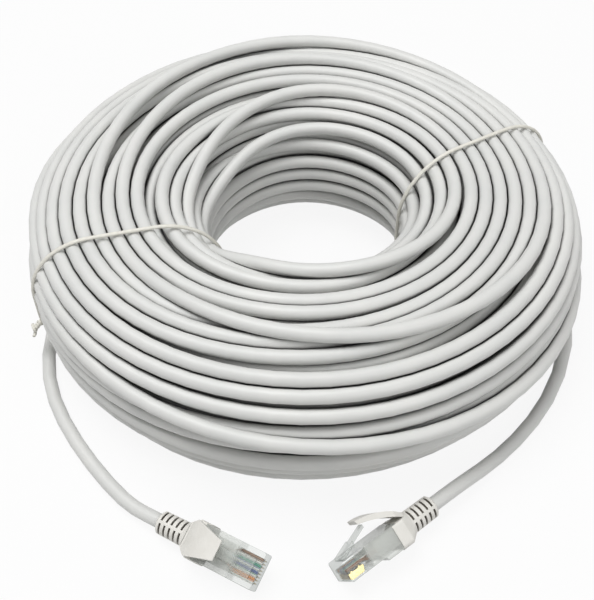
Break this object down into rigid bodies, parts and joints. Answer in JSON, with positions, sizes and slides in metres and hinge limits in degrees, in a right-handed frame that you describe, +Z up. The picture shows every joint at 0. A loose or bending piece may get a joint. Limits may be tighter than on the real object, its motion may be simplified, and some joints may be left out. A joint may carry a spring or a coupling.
{
  "type": "ethernet patch cable",
  "caption": "Coiled round network patch cable with a clear modular plug and a grooved pale boot on each end, held by two twist ties.",
  "frame": {"origin": "middle of the whole part's footprint on the surface it lies on", "axes": "+Z up from the surface; -Y towards the two plugs, which lie in front of the coil; +X to the right seen from the plugs"},
  "size_m": [0.1962, 0.2252, 0.0566],
  "materials": {
    "jacket": "satin",
    "boot": "satin",
    "clear_plastic": "gloss",
    "gold_contact": "polished",
    "tie": "matte",
    "wire_white_orange": "satin",
    "wire_orange": "satin",
    "wire_white_green": "satin",
    "wire_blue": "satin",
    "wire_white_blue": "satin",
    "wire_green": "satin",
    "wire_white_brown": "satin",
    "wire_brown": "satin"
  },
  "bodies": {
    "cable": {"coil_turns": "jacket", "coil_core": "jacket", "tie_left": "tie", "tie_right": "tie", "cable_tail_left": "jacket", "cable_tail_right": "jacket", "housing_left": "clear_plastic", "contacts_left": "gold_contact", "boot_left": "boot", "jacket_end_left": "jacket", "wire_white_orange_left": "wire_white_orange", "wire_orange_left": "wire_orange", "wire_white_green_left": "wire_white_green", "wire_blue_left": "wire_blue", "wire_white_blue_left": "wire_white_blue", "wire_green_left": "wire_green", "wire_white_brown_left": "wire_white_brown", "wire_brown_left": "wire_brown", "housing_right": "clear_plastic", "contacts_right": "gold_contact", "boot_right": "boot", "jacket_end_right": "jacket", "wire_white_orange_right": "wire_white_orange", "wire_orange_right": "wire_orange", "wire_white_green_right": "wire_white_green", "wire_blue_right": "wire_blue", "wire_white_blue_right": "wire_white_blue", "wire_green_right": "wire_green", "wire_white_brown_right": "wire_white_brown", "wire_brown_right": "wire_brown"},
    "tongue_left": {"boot_tongue_left": "boot"},
    "latch_left": {"latch_left": "clear_plastic"},
    "tongue_right": {"boot_tongue_right": "boot"},
    "latch_right": {"latch_right": "clear_plastic"}
  },
  "joints": [
    {"name": "tongue_left_hinge", "type": "hinge", "parent": "cable", "child": "tongue_left", "pos_m": [-0.03668, -0.09541, 0.01008], "axis": [0.4387, 0.8141, 0.3806], "range_deg": [0, 15], "stiffness_Nm_per_rad": 0.02, "springref_deg": -1.15},
    {"name": "latch_left_hinge", "type": "hinge", "parent": "cable", "child": "latch_left", "pos_m": [-0.01705, -0.10687, 0.01195], "axis": [0.4387, 0.8141, 0.3806], "range_deg": [-16.2, 0]},
    {"name": "tongue_right_hinge", "type": "hinge", "parent": "cable", "child": "tongue_right", "pos_m": [0.02723, -0.08823, 0.00947], "axis": [0.3196, -0.4077, 0.8554], "range_deg": [0, 15], "stiffness_Nm_per_rad": 0.02, "springref_deg": -1.15},
    {"name": "latch_right_hinge", "type": "hinge", "parent": "cable", "child": "latch_right", "pos_m": [0.00958, -0.10267, 0.00918], "axis": [0.3196, -0.4077, 0.8554], "range_deg": [-16.2, 0]}
  ],
  "couplings": [
    {"joint": "latch_left_hinge", "follows": "tongue_left_hinge", "ratio": -1.08},
    {"joint": "latch_right_hinge", "follows": "tongue_right_hinge", "ratio": -1.08}
  ]
}
